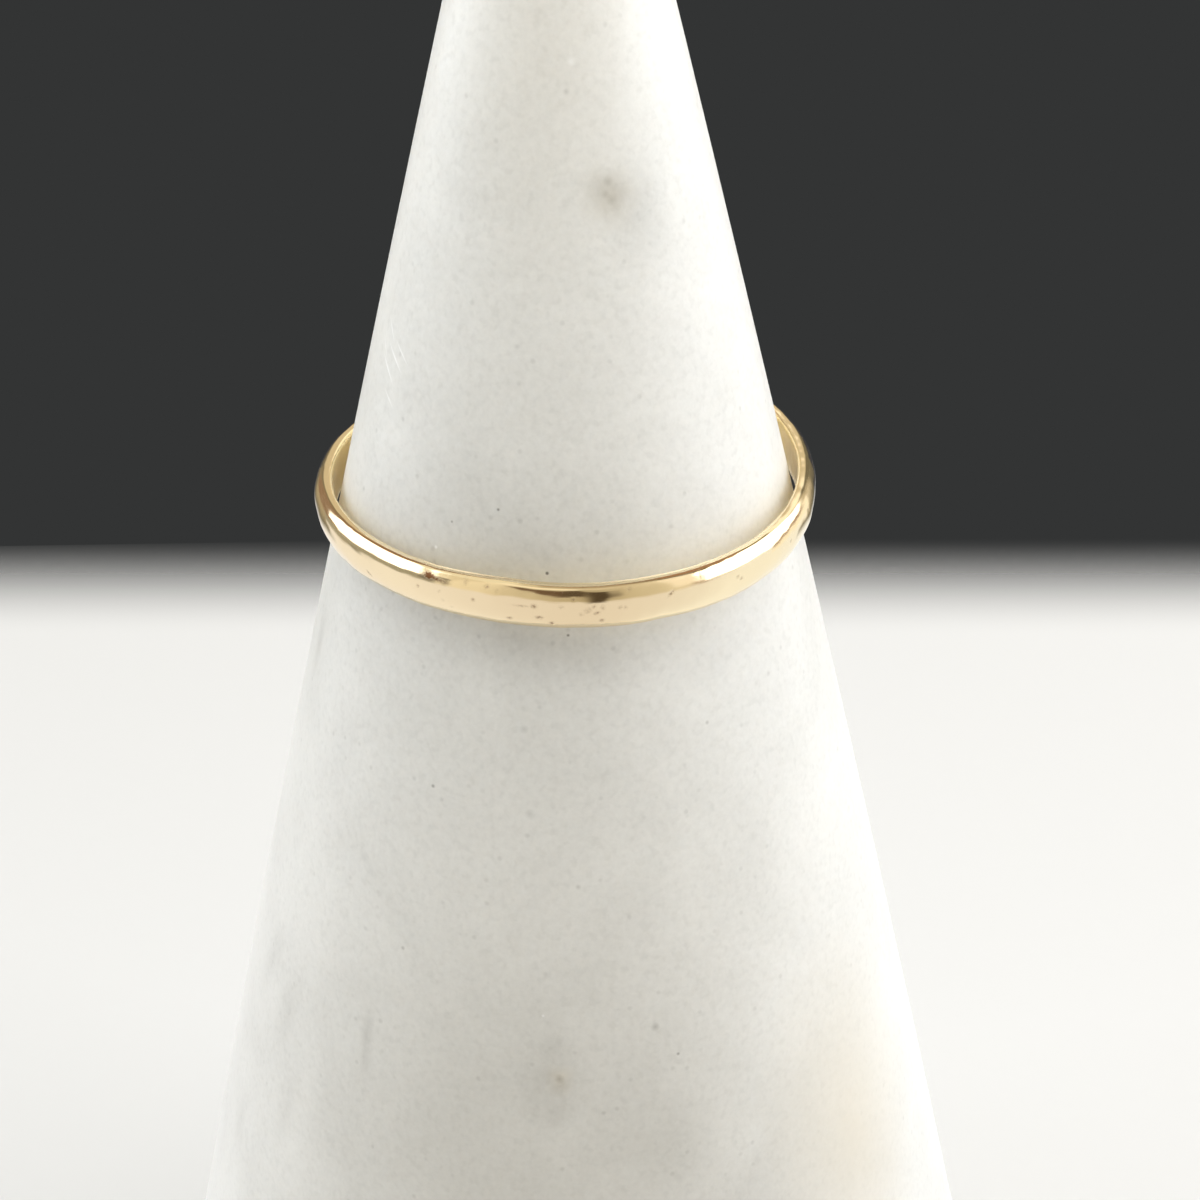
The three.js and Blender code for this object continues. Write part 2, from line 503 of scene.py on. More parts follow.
# %% Gold: shine
SMUDGE_SCALE = 0.5  # grease smudges in a millimetre, so each is about 2 mm wide
smudge = add_node(
    tree,
    "ShaderNodeTexNoise",
    {"Vector": place_mm.outputs[0], "Scale": SMUDGE_SCALE, "Detail": 3.0, "Roughness": 0.6},
)
outer_rough = add_node(
    tree,
    "ShaderNodeMapRange",
    {"Value": smudge.outputs["Fac"], "From Min": 0.35, "From Max": 0.7, "To Min": 0.085, "To Max": 0.16},
)
inner_rough = add_node(
    tree, "ShaderNodeMix", {"Factor": inner.outputs["Fac"], "A": outer_rough.outputs[0], "B": 0.26}
)
full_rough = add_node(
    tree, "ShaderNodeMix", {"Factor": soil_and_painted_line.outputs[0], "A": inner_rough.outputs[0], "B": 0.28}
)
tree.links.new(full_rough.outputs[0], shader.inputs["Roughness"])

# dirt and the painted dark rim line aren't metal, the inner wall has a film of soap and skin
# grease, and fine scratches in all directions scatter light where the rims rubbed on other rings:
# there the pure mirror gives way
FILM_SHARE, DARK_MARK_SHARE, RUB_SHARE = 0.3, 0.6, 0.8
matt_parts = (
    (inner.outputs["Fac"], FILM_SHARE),
    (soil_and_painted_line.outputs[0], DARK_MARK_SHARE),
    (rubbed.outputs["Fac"], RUB_SHARE),
)
metal = 1.0
for matt, share in matt_parts:
    metal = add_node(
        tree, "ShaderNodeMath", {0: matt, 1: -share, 2: metal}, operation="MULTIPLY_ADD"
    ).outputs[0]
tree.links.new(metal, shader.inputs["Metallic"])
print("smudges", 1 / SMUDGE_SCALE, "mm wide")

# %% Gold: colour


def lay_colours(colour, layers):
    """Lays hex colours over a colour. Where a layer's share is 1, only that layer is left."""
    for share, hex_code in layers:
        mixed = {"Factor": share, 6: colour, 7: linear(hex_code)}
        colour = add_node(tree, "ShaderNodeMix", mixed, data_type="RGBA").outputs[2]
    return colour


# the alloy shifts a little from spot to spot, the inner wall is deeper, and dirt and the
# painted dark rim line are brown
gold_colour = lay_colours(linear("#f8e6c0"), (
    (smudge.outputs["Fac"], "#f2e0bc"),
    (inner.outputs["Fac"], "#ffe8ae"),
    (soil_and_painted_line.outputs[0], "#6e451c"),
))
tree.links.new(gold_colour, shader.inputs["Base Color"])
print("gold in linear light:", [round(c, 3) for c in linear("#f8e6c0")])

# %% Gold: hairlines
# Hairlines are about 0.01 mm wide on a real band. Here they are 0.04 mm, so that they show.
LINES_PER_MM = (0.9, 24.0, 1.0)  # along the band and across it
CROSS_PER_MM = (0.7, 16.0, 1.0)
CROSS_SLANT = math.radians(24)
LINE_DEPTH = 0.0016 * MM
hair_stretch = add_node(
    tree, "ShaderNodeMapping", {"Vector": band_uv.outputs[0], "Scale": LINES_PER_MM}
)
hairlines = add_node(
    tree, "ShaderNodeTexNoise", {"Vector": hair_stretch.outputs[0], "Scale": 1.0, "Detail": 2.0}
)
cross_stretch = add_node(
    tree,
    "ShaderNodeMapping",
    {"Vector": band_uv.outputs[0], "Rotation": (0.0, 0.0, CROSS_SLANT), "Scale": CROSS_PER_MM},
)
cross_lines = add_node(
    tree, "ShaderNodeTexNoise", {"Vector": cross_stretch.outputs[0], "Scale": 1.0, "Detail": 1.0}
)
both_lines = add_node(
    tree,
    "ShaderNodeMath",
    {0: hairlines.outputs["Fac"], 1: cross_lines.outputs["Fac"]},
    operation="MULTIPLY",
)
scratched = add_node(
    tree, "ShaderNodeBump", {"Height": both_lines.outputs[0], "Strength": 1.0, "Distance": LINE_DEPTH}
)
tree.links.new(scratched.outputs[0], shader.inputs["Normal"])
print("hairlines", round(1 / LINES_PER_MM[1], 3), "mm wide")

# %% [markdown]
# ## The marble cone
#
# A ring cone is turned on a stone lathe and rubbed down with finer and finer grit. The side
# is not quite straight: it swells a third of a millimetre between the foot and the point. The
# outline is carried round the axis, and the grid closes with one point under the base and
# one on the tip. The photograph doesn't show the foot, so it gets the small eased edge that
# every such stand has, with a few chips in it.

# %% The cone's outline
CONE_HEIGHT = 75 * MM
BASE_RADIUS = 19 * MM
TIP_RADIUS = 2 * MM
BELLY = 0.35 * MM
FOOT_ROUND = 0.8 * MM
SIDE_STEPS, TIP_STEPS, FOOT_STEPS = 165, 22, 14
SOLVING_ROUNDS = 5  # the parabola meets the tip's circle at a lean that depends on both


def cone_outline():
    """The outline from base to tip as (radius, height): a quarter circle at the foot, a
    shallow parabola up the side and a circle round the tip that the parabola runs into."""
    ball = CONE_HEIGHT - TIP_RADIUS
    foot, top = np.array([BASE_RADIUS, FOOT_ROUND]), np.array([TIP_RADIUS, ball])
    for _ in range(SOLVING_ROUNDS):
        lean = math.atan2(foot[0] - top[0] + 4 * BELLY, top[1] - foot[1])
        top = np.array([TIP_RADIUS * math.cos(lean), ball + TIP_RADIUS * math.sin(lean)])
    t = np.linspace(0, 1, SIDE_STEPS)[:, None]
    side = foot + (top - foot) * t
    side[:, 0] += (4 * BELLY * t * (1 - t))[:, 0]
    round_angle = np.linspace(-math.pi / 2, 0, FOOT_STEPS)[:-1]
    foot_arc = np.stack([BASE_RADIUS - FOOT_ROUND + FOOT_ROUND * np.cos(round_angle),
                         FOOT_ROUND + FOOT_ROUND * np.sin(round_angle)], -1)
    tip_angle = np.linspace(lean, math.pi / 2, TIP_STEPS)[1:-1]
    tip_arc = np.stack([TIP_RADIUS * np.cos(tip_angle), ball + TIP_RADIUS * np.sin(tip_angle)], -1)
    return np.concatenate([foot_arc, side, tip_arc])


outline = cone_outline()
inwards, upwards = (outline[-TIP_STEPS] - outline[FOOT_STEPS]) * (-1, 1)
lean_deg = math.degrees(math.atan2(inwards, upwards))
print("outline of", len(outline), "points, the side leans", round(lean_deg, 1), "degrees")

# %% The cone
CONE_STEPS = 480
CHIP_COUNT = 9
CHIP_HEIGHT, CHIP_REACH = 0.25 * MM, 0.35 * MM  # the middle of each chip, and how far up it goes
turn = np.linspace(0, 2 * math.pi, CONE_STEPS, endpoint=False)
chip_azimuth = dice.uniform(0, 2 * math.pi, CHIP_COUNT)
chip_half_width = dice.uniform(0.25, 0.7, CHIP_COUNT) * MM
chip_depth = dice.uniform(0.03, 0.12, CHIP_COUNT) * MM


def foot_chips(radius, height):
    """How deep the chips are, in metres: bells round the foot that fade out upwards."""
    depth = np.zeros(np.broadcast(turn, height).shape)
    for place, half_width, deep in zip(chip_azimuth, chip_half_width, chip_depth):
        apart = ((turn - place + math.pi) % (2 * math.pi) - math.pi) * radius
        upward = (height - CHIP_HEIGHT) / CHIP_REACH
        depth += deep * np.exp(-((apart / half_width) ** 2) - upward**2)
    return depth


chipped = outline[:, :1] - foot_chips(outline[:, :1], outline[:, 1:])
cone_points = np.stack([chipped * np.cos(turn), chipped * np.sin(turn), outline[:, 1:] + 0 * turn], -1)
cone_rows = len(outline)
base_pole, tip_pole = cone_rows * CONE_STEPS, cone_rows * CONE_STEPS + 1
here, beyond = np.arange(CONE_STEPS), (np.arange(CONE_STEPS) + 1) % CONE_STEPS
top_row = (cone_rows - 1) * CONE_STEPS
cone_faces = grid_faces(cone_rows, CONE_STEPS, False).tolist()
cone_faces += np.stack([beyond, here, np.full(CONE_STEPS, base_pole)], -1).tolist()
cone_faces += np.stack([top_row + here, top_row + beyond, np.full(CONE_STEPS, tip_pole)], -1).tolist()
poles = [[0, 0, 0], [0, 0, CONE_HEIGHT]]
cone = mesh_object("marble_ring_cone", np.concatenate([cone_points.reshape(-1, 3), poles]), cone_faces)
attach(cone, "root")
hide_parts("marble_cone")
print("cone of", len(cone.data.polygons), "faces with", CHIP_COUNT, "chips in its foot")

# %% [markdown]
# ## White marble, honed to a satin shine
#
# Marble is a packing of calcite crystals, here a quarter of a millimetre across. Light goes a
# few millimetres into them before it comes out, so edges and shadows are soft, and the
# shader's subsurface part does that. Under the satin surface the eye sees four things: grey
# clouds some millimetres across, the crystals as a fine mottle with darker joints, a few
# dark specks of other minerals, and pale strokes where a tool slipped. The first two are
# noise on the object's own coordinates. The rest are single marks at their real places.

# %% Marble: clouds and crystals
marble = bpy.data.materials.new("honed_white_marble")
marble.use_nodes = True
tree = marble.node_tree
shader = tree.nodes["Principled BSDF"]
shader.subsurface_method = "BURLEY"
shader.inputs["Subsurface Weight"].default_value = 0.6
shader.inputs["Subsurface Radius"].default_value = (1.0, 0.85, 0.7)
shader.inputs["Subsurface Scale"].default_value = 1.6 * MM
cone.data.materials.append(marble)

# how many clouds, crystals and dark joints there are in a millimetre
CLOUD_SCALE, CRYSTAL_SCALE, JOINT_SCALE = 0.16, 4.2, 3.4
place = add_node(tree, "ShaderNodeTexCoord")
place_mm = add_node(tree, "ShaderNodeMapping", {"Vector": place.outputs["Object"], "Scale": (1 / MM,) * 3})
stone = place_mm.outputs[0]
clouds = add_node(
    tree,
    "ShaderNodeTexNoise",
    {"Vector": stone, "Scale": CLOUD_SCALE, "Detail": 4.0, "Roughness": 0.55, "Distortion": 0.5},
)
crystals = add_node(
    tree, "ShaderNodeTexNoise", {"Vector": stone, "Scale": CRYSTAL_SCALE, "Detail": 2.0, "Roughness": 0.6}
)
joints = add_node(
    tree, "ShaderNodeTexNoise", {"Vector": stone, "Scale": JOINT_SCALE, "Detail": 1.0}
)
cloudy = add_node(
    tree,
    "ShaderNodeMapRange",
    {"Value": clouds.outputs["Fac"], "From Min": 0.35, "From Max": 0.65, "To Min": 1.0, "To Max": 0.0},
)
joint_dark = add_node(
    tree,
    "ShaderNodeMapRange",
    {"Value": joints.outputs["Fac"], "From Min": 0.28, "From Max": 0.48, "To Min": 0.06, "To Max": 0.0},
)
cloud_grey = add_node(tree, "ShaderNodeMath", {0: cloudy.outputs[0], 1: 0.12}, operation="MULTIPLY")
crystal_grey = add_node(
    tree,
    "ShaderNodeMapRange",
    {"Value": crystals.outputs["Fac"], "From Min": 0.3, "From Max": 0.7, "To Min": 0.068, "To Max": 0.0},
)
print("clouds of", 1 / CLOUD_SCALE, "mm and crystals of", round(1 / CRYSTAL_SCALE, 2), "mm")

# %% Marble: small specks
# the middles of random cells half a millimetre wide, in about one cell of eight
SPECK_CELLS = 2.0  # cells in a millimetre
cells = add_node(tree, "ShaderNodeTexVoronoi", {"Vector": stone, "Scale": SPECK_CELLS}, feature="F1")
near_middle = add_node(
    tree,
    "ShaderNodeMapRange",
    {"Value": cells.outputs["Distance"], "From Min": 0.08, "From Max": 0.24, "To Min": 0.14, "To Max": 0.0},
)
cell_dice = add_node(tree, "ShaderNodeSeparateColor", {0: cells.outputs["Color"]})
EMPTY_SHARE = 0.87  # of the cells
chosen = add_node(
    tree, "ShaderNodeMath", {0: cell_dice.outputs[0], 1: EMPTY_SHARE}, operation="GREATER_THAN"
)
specks = add_node(
    tree, "ShaderNodeMath", {0: near_middle.outputs[0], 1: chosen.outputs[0]}, operation="MULTIPLY"
)
print("specks in cells of", 1 / SPECK_CELLS, "mm")

# %% [markdown]
# ## Marks in the marble at their real places
#
# Soft grey veins and clouds, two broad patches of painted shade and faint beige stains are
# wider than the steps of the grid, so each is a soft ellipse that numpy lays on the grid's
# points, and the material reads their sum as an attribute. That costs no time in the render.
# Specks and scratches are finer than the grid, so they are nodes: a speck is 1 minus the
# distance to its middle over its radius, and a scratch is a ball squashed long and thin by a
# Mapping node. Marks on the hidden side are drawn at random.

# %% Marble: veins, clouds, painted shade and stains on the grid
SIDE_ANGLE = math.atan2(BASE_RADIUS - TIP_RADIUS, CONE_HEIGHT)
# azimuth in degrees, height in mm, half size round and up in mm, slant in degrees, strength
VEINS_AND_PAINTED_SHADE = [
    (287.1, 61.2, 0.85, 0.80, 0, 0.36),
    (292.5, 61.0, 1.90, 1.40, 0, 0.13),
    (297.5, 59.8, 1.50, 1.80, 0, 0.12),
    (266.5, 30.6, 1.60, 2.00, 0, 0.16),
    (266.0, 32.1, 0.60, 0.70, 0, 0.12),
    (267.4, 30.6, 0.45, 0.40, 0, 0.26),
    (265.4, 31.0, 0.50, 0.40, 0, 0.16),
    (266.8, 29.4, 0.50, 0.60, 0, 0.16),
    (231.8, 30.9, 0.36, 1.10, 0, 0.26),
    (232.2, 29.7, 0.32, 0.80, 0, 0.16),
    (201.0, 30.2, 0.90, 2.40, -20, 0.14),
    (210.7, 29.4, 0.90, 2.40, -15, 0.11),
    (214.7, 25.5, 0.80, 2.60, -10, 0.11),
    (199.0, 22.3, 0.80, 2.40, 0, 0.10),
    (285.4, 28.0, 2.00, 2.50, 0, 0.16),
    (194.3, 43.2, 0.50, 1.60, 0, 0.14),
    # painted shade: this broad patch makes the front of the cone darker towards the foot
    (270.0, 18.0, 13.0, 21.0, 0, 0.30),
    # painted shade on the stone just above the band's front left, where the band blocks light
    (258.0, 48.8, 9.5, 4.2, 0, 0.25),
]
HIDDEN_VEINS = 16
for _ in range(HIDDEN_VEINS):
    vein_size = dice.uniform(0.3, 1.8), dice.uniform(0.5, 3.0)
    VEINS_AND_PAINTED_SHADE.append((dice.uniform(0, 175), dice.uniform(8, 66), *vein_size, dice.uniform(-30, 30), 0.2))


def soft_ellipses(rows):
    """The sum of the ellipses on the cone's grid. One is strength * (1 - r), and 0 from r = 1
    on, where r is the distance from its middle over its half size, turned by its slant."""
    total = np.zeros((cone_rows, CONE_STEPS))
    for azimuth_deg, height_mm, round_half, up_half, slant_deg, strength in rows:
        turned = (turn - math.radians(azimuth_deg) + math.pi) % (2 * math.pi) - math.pi
        across = turned * outline[:, :1] / MM
        upward = (outline[:, 1:] / MM - height_mm) / math.cos(SIDE_ANGLE)
        c, s = math.cos(math.radians(slant_deg)), math.sin(math.radians(slant_deg))
        r = np.hypot((across * c + upward * s) / round_half, (upward * c - across * s) / up_half)
        total += strength * np.clip(1 - r, 0, 1)
    return total


# the same numbers for the stains
STAINS = [
    (321.0, 25.0, 5.0, 9.0, 0, 0.55),
    (262.0, 23.0, 26.0, 25.0, 0, 0.18),
    (287.6, 61.0, 1.20, 1.20, 0, 0.25),
    (267.3, 30.8, 0.60, 0.60, 0, 0.40),
    (266.0, 66.0, 4.0, 9.0, 0, 0.14),
]
ON_POLES = [0, 0]  # the two points under the base and on the tip have no marks
point_attribute(cone.data, "veins_and_painted_shade", np.append(soft_ellipses(VEINS_AND_PAINTED_SHADE).ravel(), ON_POLES))
point_attribute(cone.data, "stain", np.append(soft_ellipses(STAINS).ravel(), ON_POLES))
print(len(VEINS_AND_PAINTED_SHADE), "veins and clouds and", len(STAINS), "stains")

# %% Marble: where the specks and scratches are
# azimuth in degrees, height in mm, radius in mm, strength
DARK_SPECKS = [
    (288.3, 60.9, 0.20, 0.24),
    (287.3, 61.5, 0.20, 0.20),
    (285.9, 61.1, 0.16, 0.16),
    (265.0, 49.0, 0.075, 1.30),
    (252.3, 51.0, 0.07, 0.80),
    (239.8, 50.3, 0.06, 0.60),
    (269.8, 46.9, 0.07, 0.90),
    (272.4, 64.3, 0.12, 0.22),
    (260.2, 43.6, 0.18, 0.24),
    (261.7, 40.6, 0.22, 0.20),
    (241.0, 41.0, 0.09, 0.70),
    (237.6, 34.7, 0.10, 0.42),
    (271.0, 38.0, 0.12, 0.28),
    (300.1, 43.1, 0.10, 0.40),
    (287.5, 31.3, 0.08, 0.70),
    (283.8, 32.5, 0.19, 0.34),
    (267.3, 30.8, 0.20, 0.40),
]
PALE_SPECKS = [
    (235.9, 49.3, 0.08, 0.90),
    (275.0, 65.2, 0.16, 0.40),
    (264.5, 33.2, 0.07, 0.70),
]
HIDDEN_SPECKS = 8
for _ in range(HIDDEN_SPECKS):
    DARK_SPECKS.append((dice.uniform(0, 175), dice.uniform(8, 66), dice.uniform(0.08, 0.2), 0.7))
# azimuth in degrees, height, half length and half width in mm, slant in degrees, strength
SCRATCHES = [
    (209.6, 54.8, 0.80, 0.06, -32, 0.95),
    (212.9, 55.1, 0.70, 0.05, -32, 0.80),
    (206.4, 54.3, 0.80, 0.06, -35, 0.95),
    (204.5, 55.6, 0.60, 0.05, -45, 0.75),
    (202.0, 54.9, 0.60, 0.05, -45, 0.60),
    (210.0, 53.4, 0.50, 0.05, -30, 0.70),
]
print(len(DARK_SPECKS), "dark specks,", len(PALE_SPECKS), "pale ones and", len(SCRATCHES), "scratches")

# %% Marble: specks and scratches as nodes


def on_side(azimuth_deg, height_mm):
    """The point of the cone's side at that azimuth and height, in millimetres."""
    radius_mm = float(np.interp(height_mm, outline[:, 1] / MM, outline[:, 0] / MM))
    a = math.radians(azimuth_deg)
    return radius_mm * math.cos(a), radius_mm * math.sin(a), height_mm


def add_specks(rows, total):
    """Adds strength * (1 - distance / radius), and nothing past the radius, for each speck."""
    for azimuth_deg, height_mm, radius_mm, strength in rows:
        away = add_node(
            tree, "ShaderNodeVectorMath", {0: stone, 1: on_side(azimuth_deg, height_mm)}, operation="DISTANCE"
        )
        speck = add_node(
            tree,
            "ShaderNodeMath",
            {0: away.outputs["Value"], 1: -strength / radius_mm, 2: strength},
            operation="MULTIPLY_ADD",
            use_clamp=True,
        )
        total = add_node(tree, "ShaderNodeMath", {0: speck.outputs[0], 1: total}, operation="ADD").outputs[0]
    return total


def add_scratches(rows, total):
    """Adds a thin ball for each scratch. The Mapping node moves the coordinates into the
    ball's own frame, where a spherical gradient is 1 in the middle and 0 at the edge."""
    for azimuth_deg, height_mm, half_length, half_width, slant_deg, strength in rows:
        a = math.radians(azimuth_deg)
        tangent = Vector((-math.sin(a), math.cos(a), 0.0))
        inward = math.sin(SIDE_ANGLE)
        upward = Vector((-math.cos(a) * inward, -math.sin(a) * inward, math.cos(SIDE_ANGLE)))
        own_axes = Matrix((tangent, upward, tangent.cross(upward))).transposed()
        own_axes = own_axes @ Matrix.Rotation(math.radians(slant_deg), 3, "Z")
        own_frame = add_node(
            tree,
            "ShaderNodeMapping",
            {
                "Vector": stone,
                "Location": on_side(azimuth_deg, height_mm),
                "Rotation": own_axes.to_euler("XYZ"),
                "Scale": (half_length, half_width, half_width),
            },
            vector_type="TEXTURE",
        )
        ball = add_node(
            tree, "ShaderNodeTexGradient", {"Vector": own_frame.outputs[0]}, gradient_type="SPHERICAL"
        )
        total = add_node(
            tree, "ShaderNodeMath", {0: ball.outputs["Fac"], 1: strength, 2: total}, operation="MULTIPLY_ADD"
        ).outputs[0]
    return total


veins_and_painted_shade = add_node(tree, "ShaderNodeAttribute", attribute_name="veins_and_painted_shade")
grey = cloud_grey.outputs[0]
for part in (crystal_grey.outputs[0], joint_dark.outputs[0], specks.outputs[0], veins_and_painted_shade.outputs["Fac"]):
    grey = add_node(tree, "ShaderNodeMath", {0: grey, 1: part}, operation="ADD").outputs[0]
dark_sum = add_node(tree, "ShaderNodeClamp", {"Value": add_specks(DARK_SPECKS, grey)})
pale_marks = add_scratches(SCRATCHES, add_specks(PALE_SPECKS, 0.0))
pale_sum = add_node(tree, "ShaderNodeClamp", {"Value": pale_marks})
print("nodes in the marble so far:", len(tree.nodes))

# %% [markdown]
# ## From marks to colour, shine and feel
#
# By now all the grey marks and the painted shade are one number and all the pale marks another.
# Each slides the colour of clean stone towards its own. The shine follows the crystals, because
# each takes the polish a little differently, and a bump of four micrometres is their faint relief.

# %% Marble: colour, shine and feel
CRYSTAL_RELIEF = 0.004 * MM
# iron has stained a patch near the foot and two marks a faint beige, and warms the stone
# round them a little
stain = add_node(tree, "ShaderNodeAttribute", attribute_name="stain")
stone_colour = lay_colours(linear("#eeeeeb"), (
    (dark_sum.outputs[0], "#77766f"),
    (stain.outputs["Fac"], "#e2d8c4"),
    (pale_sum.outputs[0], "#ffffff"),
))
tree.links.new(stone_colour, shader.inputs["Base Color"])

honed = add_node(
    tree,
    "ShaderNodeMapRange",
    {"Value": crystals.outputs["Fac"], "From Min": 0.3, "From Max": 0.7, "To Min": 0.33, "To Max": 0.43},
)
tree.links.new(honed.outputs[0], shader.inputs["Roughness"])
grain = add_node(
    tree,
    "ShaderNodeBump",
    {"Height": crystals.outputs["Fac"], "Strength": 1.0, "Distance": CRYSTAL_RELIEF},
)
tree.links.new(grain.outputs[0], shader.inputs["Normal"])
print("clean stone in linear light:", [round(c, 3) for c in linear("#eeeeeb")])

# %% [markdown]
# ## The table
#
# The pale table ends a hand's width behind the cone. A close-up lens throws that edge far out
# of focus, so it is a soft change from pale to dark and not a line. Here the table top fades
# out over the same stretch: its paint is mixed with a transparent shader by the distance back.

# %% Table
TABLE_HALF = 600 * MM
FADE_START, FADE_END = 70.4 * MM, 85.4 * MM
TABLE_TURN = math.radians(1.9)  # the edge is square to the camera, which is tilted a little

table_top = bpy.data.materials.new("matt_white_table_paint")
table_top.use_nodes = True
tree = table_top.node_tree
shader = tree.nodes["Principled BSDF"]
shader.inputs["Base Color"].default_value = linear("#d1d1d0")
shader.inputs["Roughness"].default_value = 0.65
place = add_node(tree, "ShaderNodeTexCoord")
squared = add_node(
    tree, "ShaderNodeMapping", {"Vector": place.outputs["Object"], "Rotation": (0.0, 0.0, TABLE_TURN)}
)
axes = add_node(tree, "ShaderNodeSeparateXYZ", {0: squared.outputs[0]})
fade = add_node(
    tree,
    "ShaderNodeMapRange",
    {"Value": axes.outputs["Y"], "From Min": FADE_START, "From Max": FADE_END},
    interpolation_type="SMOOTHSTEP",
)
clear = add_node(tree, "ShaderNodeBsdfTransparent")
blend = add_node(
    tree, "ShaderNodeMixShader", {0: fade.outputs[0], 1: shader.outputs[0], 2: clear.outputs[0]}
)
tree.links.new(blend.outputs[0], tree.nodes["Material Output"].inputs["Surface"])

corners = [[-TABLE_HALF, -TABLE_HALF, 0], [TABLE_HALF, -TABLE_HALF, 0],
           [TABLE_HALF, FADE_END, 0], [-TABLE_HALF, FADE_END, 0]]
floor = mesh_object("pale_table", np.array(corners), [[0, 1, 2, 3]], table_top)
floor.visible_glossy = False
floor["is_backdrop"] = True
print("table fades out between", FADE_START / MM, "and", FADE_END / MM, "mm behind the cone")

# %% [markdown]
# ## The light
#
# Two large soft boxes light the marble from the sides, a wide dim panel fills the front, and
# two dimmer panels reach round the back. A small panel over the tip makes the cone a little
# brighter towards the top. Each is placed by its bearing from the ring: 0 degrees is straight
# in front, positive is to the right, and the elevation is upwards. The lamps don't show in
# mirrors, because the next step gives the mirrors a better room to look at.

# %% Lamps
scene = bpy.context.scene
scene.view_settings.view_transform = "Standard"
world = bpy.data.worlds.new("studio")
scene.world = world
world.use_nodes = True
world.node_tree.nodes["Background"].inputs["Color"].default_value = linear("#333434")


def bearing(azimuth_deg, elevation_deg):
    """Unit vectors from the ring at those bearings, as an array or a single vector."""
    a, e = np.radians(azimuth_deg), np.radians(elevation_deg)
    return np.stack([np.sin(a) * np.cos(e), -np.cos(a) * np.cos(e), np.sin(e) + 0 * a], -1)


def soft_box(name, azimuth_deg, elevation_deg, wide_deg, high_deg, radiance, distance=0.4):
    """A rectangle of light that faces the ring and spans that many degrees. radiance is red,
    green and blue. A lamp's power is its radiance times pi times its area."""
    data = bpy.data.lights.new(name, "AREA")
    data.shape = "RECTANGLE"
    data.size = 2 * distance * math.tan(math.radians(wide_deg / 2))
    data.size_y = 2 * distance * math.tan(math.radians(high_deg / 2))
    data.energy = max(radiance) * math.pi * data.size * data.size_y
    data.color = [channel / max(radiance) for channel in radiance]
    lamp = bpy.data.objects.new(name, data)
    scene.collection.objects.link(lamp)
    away = Vector(bearing(azimuth_deg, elevation_deg))
    lamp.location = Vector((0, 0, RING_HEIGHT)) + away * distance
    lamp.rotation_euler = away.to_track_quat("Z", "Y").to_euler()
    lamp.visible_camera = lamp.visible_glossy = False


# bearing, elevation, width and height in degrees, radiance, and distance in metres
soft_box("box_left", -104, 24, 60, 54, (2.00, 2.07, 2.15), distance=0.28)
soft_box("box_right", 98, 28, 64, 56, (2.80, 2.80, 2.85), distance=0.28)
soft_box("front_panel", 0, 37, 112, 86, (0.445, 0.415, 0.352), distance=0.5)
soft_box("back_left", -150, 24, 40, 60, (1.25, 1.20, 1.10), distance=0.3)
soft_box("back_right", 150, 24, 40, 60, (1.30, 1.25, 1.15), distance=0.3)
soft_box("top_panel", 0, 84, 40, 40, (4.8, 4.8, 4.7), distance=0.1)

# %% [markdown]
# ## What the gold mirrors
#
# Polished gold has no look of its own: it shows the room. So the band gets a room of its own,
# a ball 0.9 metres wide that only mirrors see. It is painted by bearing, one soft-edged
# polygon over the other: a warm wall in front that is darker in the middle, a brown ceiling,
# a dim back, the two bright boxes in their brown frames, and the dark camera on its arm. A
# reflection of plain lamps would look like a toy, because real highlights end in such edges.
# Each polygon is a row of corners, as azimuth and elevation in degrees, with the width of its
# soft edge in degrees and its tone as linear red, green and blue.

# %% Tones and outlines in the mirrored room
BOX_LEFT = ((-126, -2), (-110, -2), (-67, 13), (-70, 28), (-90, 51), (-118, 52), (-134, 38))
BOX_RIGHT = (
    (57, 5), (74, 2), (104, -1), (124, 4), (136, 26),
    (135, 41), (126, 52), (92, 55), (74, 52), (63, 42),
)
BEAM_RIGHT = (
    (96, 62), (112, 58), (160, 44), (200, 44),
    (200, 58), (150, 72), (120, 75), (96, 72),
)
CAMERA = (
    (-42, 50), (-30, 36), (-12, 18), (0, 20),
    (2, 50), (-8, 53), (-22, 50), (-36, 54),
)
# tones in the middle of the wall and at its sides, from 55 degrees on
WALL_MIDDLE, WALL_SIDE, WALL_HALF_DEG = (0.52, 0.45, 0.32), (0.95, 0.87, 0.70), 55
# the table in front, and how much brighter it is 80 degrees to the right and to the left
TABLE_FRONT, TABLE_HALF_DEG = (0.85, 0.80, 0.77), 80
MORE_RIGHT, MORE_LEFT = (0.20, 0.27, 0.30), (0.14, 0.17, 0.20)
WALL_POWER, TABLE_POWER = 1.3, 1.7  # past 1 the change starts slowly
DIM_BACK = (0.20, 0.18, 0.125)
print("corners of the boxes:", len(BOX_LEFT), "and", len(BOX_RIGHT))

# %% Soft polygons by bearing
SHELL_RADIUS = 0.45
SHELL_STEP = 1.5  # degrees between points


def inside_polygon(azimuth_deg, elevation_deg, corners, softness_deg):
    """How far a bearing is inside a polygon, from 0 to 1: the least distance to its edges in
    degrees, as a share of the soft border. Corners run anticlockwise."""
    least = np.full(azimuth_deg.shape, np.inf)
    for (az_a, el_a), (az_b, el_b) in zip(corners, corners[1:] + corners[:1]):
        length = math.hypot(az_b - az_a, el_b - el_a)
        apart = (az_b - az_a) * (elevation_deg - el_a) - (el_b - el_a) * (azimuth_deg - az_a)
        least = np.minimum(least, apart / length)
    t = np.clip(least / softness_deg + 0.5, 0, 1)
    return (t * t * (3 - 2 * t))[..., None]


